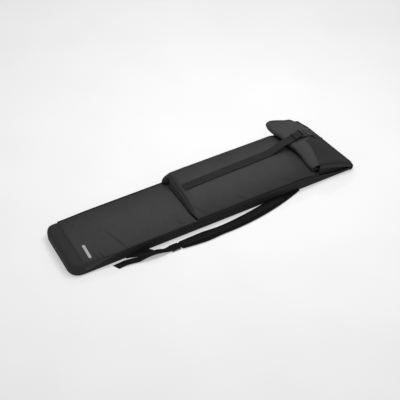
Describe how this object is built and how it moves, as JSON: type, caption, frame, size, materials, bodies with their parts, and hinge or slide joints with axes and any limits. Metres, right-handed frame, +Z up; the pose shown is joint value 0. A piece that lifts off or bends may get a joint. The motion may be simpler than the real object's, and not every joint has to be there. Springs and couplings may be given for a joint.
{
  "type": "soft carry case",
  "caption": "Long slim padded roll-top carry case with a front pocket, a folded closure flap, a buckled closing strap and padded shoulder straps.",
  "frame": {"origin": "on the floor, at the middle of the case's back face, case lying on its back", "axes": "+X along the case from the closed boot towards the folded mouth, +Y towards the far side, +Z up out of the front"},
  "size_m": [1.385, 0.4071, 0.1462],
  "materials": {
    "shell_fabric": "woven charcoal polyester with a faint sheen",
    "gusset_fabric": "matt black mesh-faced fabric",
    "webbing": "ribbed black polypropylene webbing",
    "binding": "black grosgrain binding and piping",
    "foam": "dark closed-cell foam",
    "lining": "smooth dark lining",
    "buckle_plastic": "black moulded plastic",
    "patch": "plain pale patch"
  },
  "bodies": {
    "bag": {"back_panel": "shell_fabric", "back_foam": "foam", "back_lining": "lining", "front_panel": "shell_fabric", "front_foam": "foam", "front_lining": "lining", "near_gusset": "gusset_fabric", "far_gusset": "gusset_fabric", "near_side_foam": "foam", "far_side_foam": "foam", "near_piping": "binding", "far_piping": "binding", "bottom_boot": "shell_fabric", "end_bumper": "foam", "boot_seam_tape": "binding", "name_patch": "patch", "pocket_panel": "shell_fabric", "pocket_end_gusset": "shell_fabric", "pocket_far_gusset": "shell_fabric", "pocket_mouth_binding": "binding", "fold_strip": "shell_fabric", "strap_anchor_patch": "webbing"},
    "flap": {"flap_outer_panel": "shell_fabric", "flap_foam": "foam", "flap_lining": "lining", "flap_roll": "shell_fabric", "flap_near_binding": "binding", "flap_far_binding": "binding", "socket_webbing": "webbing", "buckle_socket": "buckle_plastic"},
    "mouth_lip": {"lip_panel": "shell_fabric", "lip_foam": "foam", "lip_binding": "binding"},
    "closing_strap": {"closing_strap": "webbing"},
    "strap_keeper": {"strap_keeper": "webbing"},
    "plug": {"buckle_plug": "buckle_plastic"},
    "near_latch": {"near_latch_arm": "buckle_plastic"},
    "far_latch": {"far_latch_arm": "buckle_plastic"},
    "near_strap": {"near_shoulder_pad": "gusset_fabric", "near_pad_webbing": "webbing", "near_adjuster_webbing": "webbing", "near_strap_tail": "webbing", "near_strap_tab": "gusset_fabric"},
    "near_lock": {"near_ladder_lock": "buckle_plastic"},
    "far_strap": {"far_shoulder_pad": "gusset_fabric", "far_pad_webbing": "webbing", "far_adjuster_webbing": "webbing", "far_strap_tail": "webbing", "far_strap_tab": "gusset_fabric"},
    "far_lock": {"far_ladder_lock": "buckle_plastic"}
  },
  "joints": [
    {"name": "flap_fold", "type": "hinge", "parent": "bag", "child": "flap", "pos_m": [0.672, 0, 0.018], "axis": [0, 1, 0], "range_deg": [0, 140], "deforming": ["fold_strip"]},
    {"name": "lip_lift", "type": "hinge", "parent": "bag", "child": "mouth_lip", "pos_m": [0.505, 0, 0.0463], "axis": [0, -1, 0], "range_deg": [0, 35]},
    {"name": "strap_lift", "type": "hinge", "parent": "bag", "child": "closing_strap", "pos_m": [-0.093, 0.02, 0.106], "axis": [0, -1, 0], "range_deg": [0, 140]},
    {"name": "keeper_slide", "type": "slide", "parent": "closing_strap", "child": "strap_keeper", "axis": [0.9878, 0.1059, 0.1139], "range_m": [-0.018, 0.018]},
    {"name": "plug_swivel", "type": "hinge", "parent": "closing_strap", "child": "plug", "pos_m": [0.5126, 0.042, 0.14086], "axis": [0, -1, 0], "range_deg": [0, 60]},
    {"name": "near_latch_squeeze", "type": "hinge", "parent": "plug", "child": "near_latch", "pos_m": [0.53942, 0.0285, 0.13317], "axis": [0.2756, 0, 0.9613], "range_deg": [0, 6], "stiffness_Nm_per_rad": 0.3, "deforming": ["near_latch_arm"]},
    {"name": "far_latch_squeeze", "type": "hinge", "parent": "plug", "child": "far_latch", "pos_m": [0.53942, 0.0555, 0.13317], "axis": [-0.2756, 0, -0.9613], "range_deg": [0, 6], "stiffness_Nm_per_rad": 0.3, "deforming": ["far_latch_arm"]},
    {"name": "near_strap_swing", "type": "hinge", "parent": "bag", "child": "near_strap", "pos_m": [0, -0.1445, 0.008], "axis": [-1, 0, 0], "range_deg": [0, 75]},
    {"name": "near_lock_tilt", "type": "hinge", "parent": "near_strap", "child": "near_lock", "pos_m": [-0.2262, -0.189, 0.0025], "axis": [0, 1, 0], "range_deg": [0, 14]},
    {"name": "far_strap_swing", "type": "hinge", "parent": "bag", "child": "far_strap", "pos_m": [0, 0.1555, 0], "axis": [-1, 0, 0], "range_deg": [0, 80]},
    {"name": "far_lock_tilt", "type": "hinge", "parent": "far_strap", "child": "far_lock", "pos_m": [-0.2262, 0.153, 0.022], "axis": [0, 0, 1], "range_deg": [0, 8]}
  ],
  "couplings": [
    {"joint": "lip_lift", "follows": "flap_fold", "ratio": 0.25},
    {"joint": "strap_lift", "follows": "flap_fold", "ratio": 1}
  ]
}
